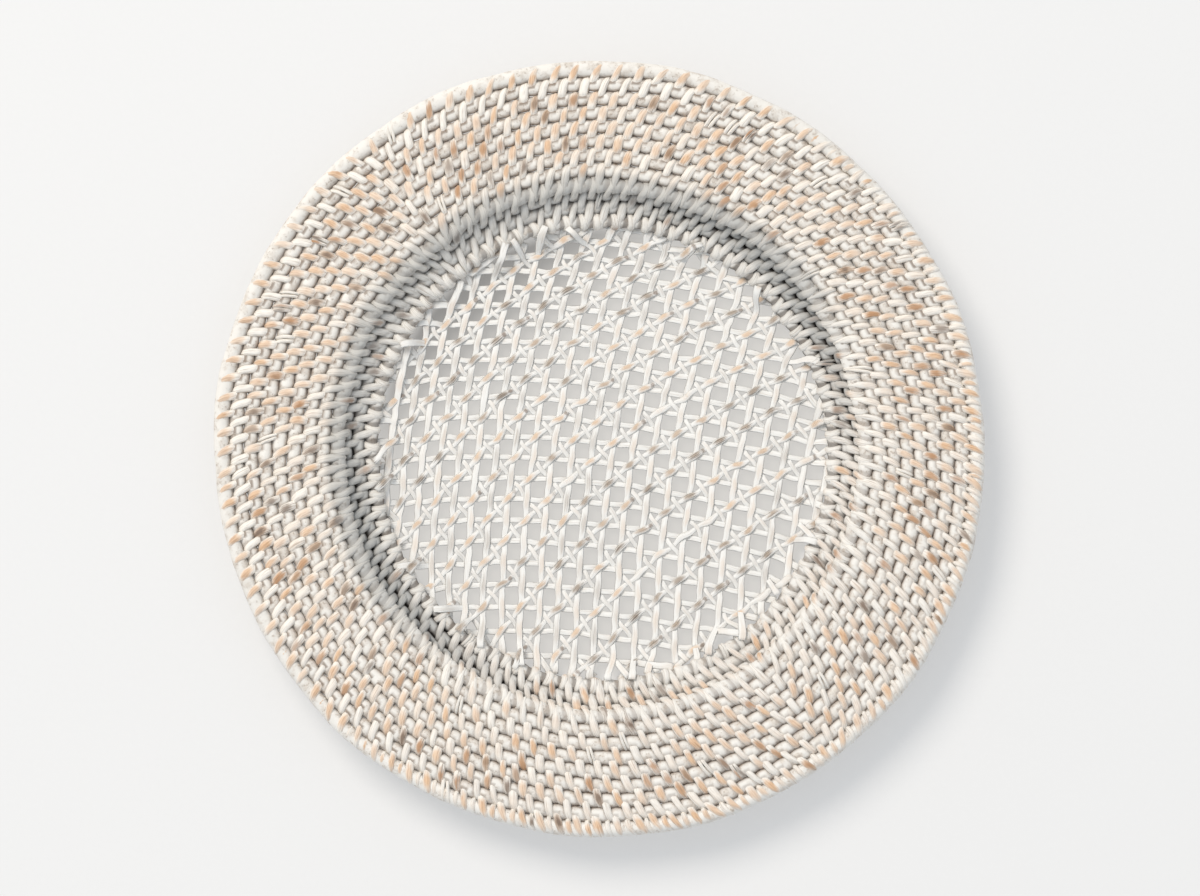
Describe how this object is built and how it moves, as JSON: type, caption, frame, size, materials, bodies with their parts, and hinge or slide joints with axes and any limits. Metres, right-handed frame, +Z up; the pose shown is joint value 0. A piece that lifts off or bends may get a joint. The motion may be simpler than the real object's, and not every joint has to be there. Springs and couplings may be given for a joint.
{
  "type": "charger plate",
  "caption": "Round whitewashed rattan charger plate: a wide rim of lashed hoops, a short wall and an open cane centre to set a dinner plate on.",
  "frame": {"origin": "on the table, under the middle of the plate", "axes": "+Z up out of the plate, +Y towards the top of the picture, +X towards its right"},
  "size_m": [0.33, 0.33, 0.0259],
  "materials": {
    "rattan_core": "whitewashed round rattan, matt",
    "rattan_strip": "whitewashed split rattan, worn to tan in places, matt",
    "cane": "whitewashed cane, satin"
  },
  "bodies": {
    "root": {"rim_hoop_1": "rattan_core", "rim_hoop_2": "rattan_core", "rim_hoop_3": "rattan_core", "rim_hoop_4": "rattan_core", "rim_hoop_5": "rattan_core", "rim_hoop_6": "rattan_core", "rim_hoop_7": "rattan_core", "rim_hoop_8": "rattan_core", "rim_hoop_9": "rattan_core", "upper_wall_hoop": "rattan_core", "lower_wall_hoop": "rattan_core", "ledge_hoop": "rattan_core", "foot_hoop": "rattan_core", "edge_lashing": "rattan_strip", "rim_lashing_1": "rattan_strip", "rim_lashing_2": "rattan_strip", "rim_lashing_3": "rattan_strip", "rim_lashing_4": "rattan_strip", "rim_lashing_5": "rattan_strip", "rim_lashing_6": "rattan_strip", "rim_lashing_7": "rattan_strip", "rim_lashing_8": "rattan_strip", "step_lashing": "rattan_strip", "wall_lashing": "rattan_strip", "ledge_lashing": "rattan_strip", "foot_lashing": "rattan_strip", "cane_crosswise": "cane", "cane_uprights": "cane", "cane_falling_diagonals": "cane", "cane_rising_diagonals": "cane"}
  },
  "joints": []
}
